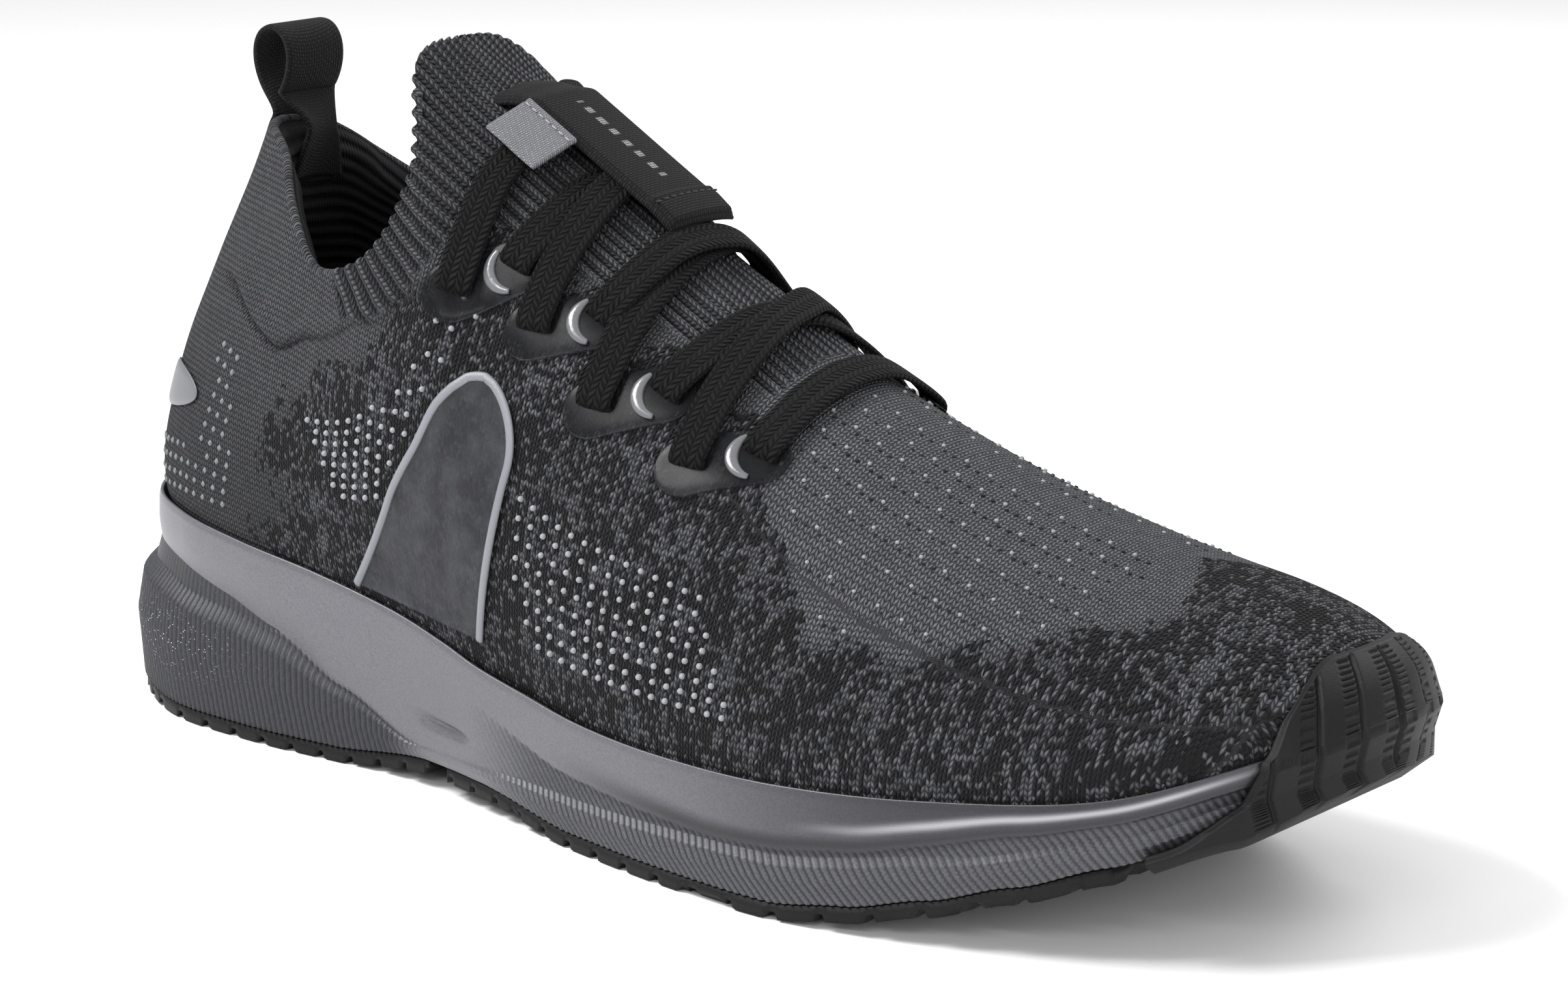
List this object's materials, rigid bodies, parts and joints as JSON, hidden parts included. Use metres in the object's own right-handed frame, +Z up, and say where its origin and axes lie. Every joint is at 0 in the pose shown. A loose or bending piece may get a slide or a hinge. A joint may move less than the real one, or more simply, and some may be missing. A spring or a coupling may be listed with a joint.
{
  "type": "running shoe",
  "caption": "Right-foot running shoe with a sock-like knitted upper, moulded midsole, rubber outsole, flat lace, tongue strap and heel pull loop.",
  "frame": {"origin": "on the ground under the middle of the shoe's length and width", "axes": "+X from heel to toe, +Y towards the inner (medial) side, +Z up"},
  "size_m": [0.3008, 0.11, 0.142],
  "materials": {
    "knit": "knitted, matt",
    "lining": "ribbed knit",
    "stiffener": "thermoformed sheet",
    "board": "stitched fibre sheet",
    "sockliner_foam": "open foam",
    "sockliner_cover": "brushed knit",
    "midsole_skin": "satin pearl skin, faceted in the lower band",
    "midsole_foam": "closed-cell foam",
    "outsole_rubber": "moulded, matt",
    "lace": "braided",
    "lace_tip": "shrunk film",
    "strap": "woven band",
    "tag": "twill",
    "webbing": "smooth webbing",
    "collar_foam": "soft foam",
    "side_panel": "pressed film with a raised border",
    "reflector": "pressed film",
    "film": "clear pressed film"
  },
  "bodies": {
    "shoe": {"knit_upper": "knit", "collar_lining": "lining", "heel_counter": "stiffener", "toe_puff": "stiffener", "strobel_board": "board", "midsole_skin": "midsole_skin", "midsole_core": "midsole_foam", "outsole_heel_outer": "outsole_rubber", "outsole_heel_inner": "outsole_rubber", "outsole_forefoot": "outsole_rubber", "outsole_toe": "outsole_rubber", "lace": "lace", "lace_tip_outer": "lace_tip", "lace_tip_inner": "lace_tip", "tongue_strap": "strap", "heel_loop_base": "webbing", "collar_foam_outer": "collar_foam", "side_panel_outer": "side_panel", "heel_reflector_outer": "reflector", "eyelet_film_outer_1": "film", "eyelet_film_outer_2": "film", "eyelet_film_outer_3": "film", "eyelet_film_outer_4": "film", "collar_foam_inner": "collar_foam", "side_panel_inner": "side_panel", "heel_reflector_inner": "reflector", "eyelet_film_inner_1": "film", "eyelet_film_inner_2": "film", "eyelet_film_inner_3": "film", "eyelet_film_inner_4": "film"},
    "heel_pull": {"heel_loop": "webbing"},
    "tag": {"tongue_tag": "tag"},
    "sockliner": {"sockliner_foam": "sockliner_foam", "sockliner_cover": "sockliner_cover"}
  },
  "joints": [
    {"name": "heel_pull_hinge", "type": "hinge", "parent": "shoe", "child": "heel_pull", "pos_m": [-0.1167, 0.0043, 0.1238], "axis": [0, 1, 0], "range_deg": [-40, 40], "stiffness_Nm_per_rad": 0.02},
    {"name": "tag_flap", "type": "hinge", "parent": "shoe", "child": "tag", "pos_m": [-0.0338, -0.0082, 0.1296], "axis": [-0.8027, -0.0875, 0.5899], "range_deg": [0, 45], "stiffness_Nm_per_rad": 0.005},
    {"name": "sockliner_lift", "type": "slide", "parent": "shoe", "child": "sockliner", "axis": [0, 0, 1], "range_m": [0, 0.0035]}
  ]
}
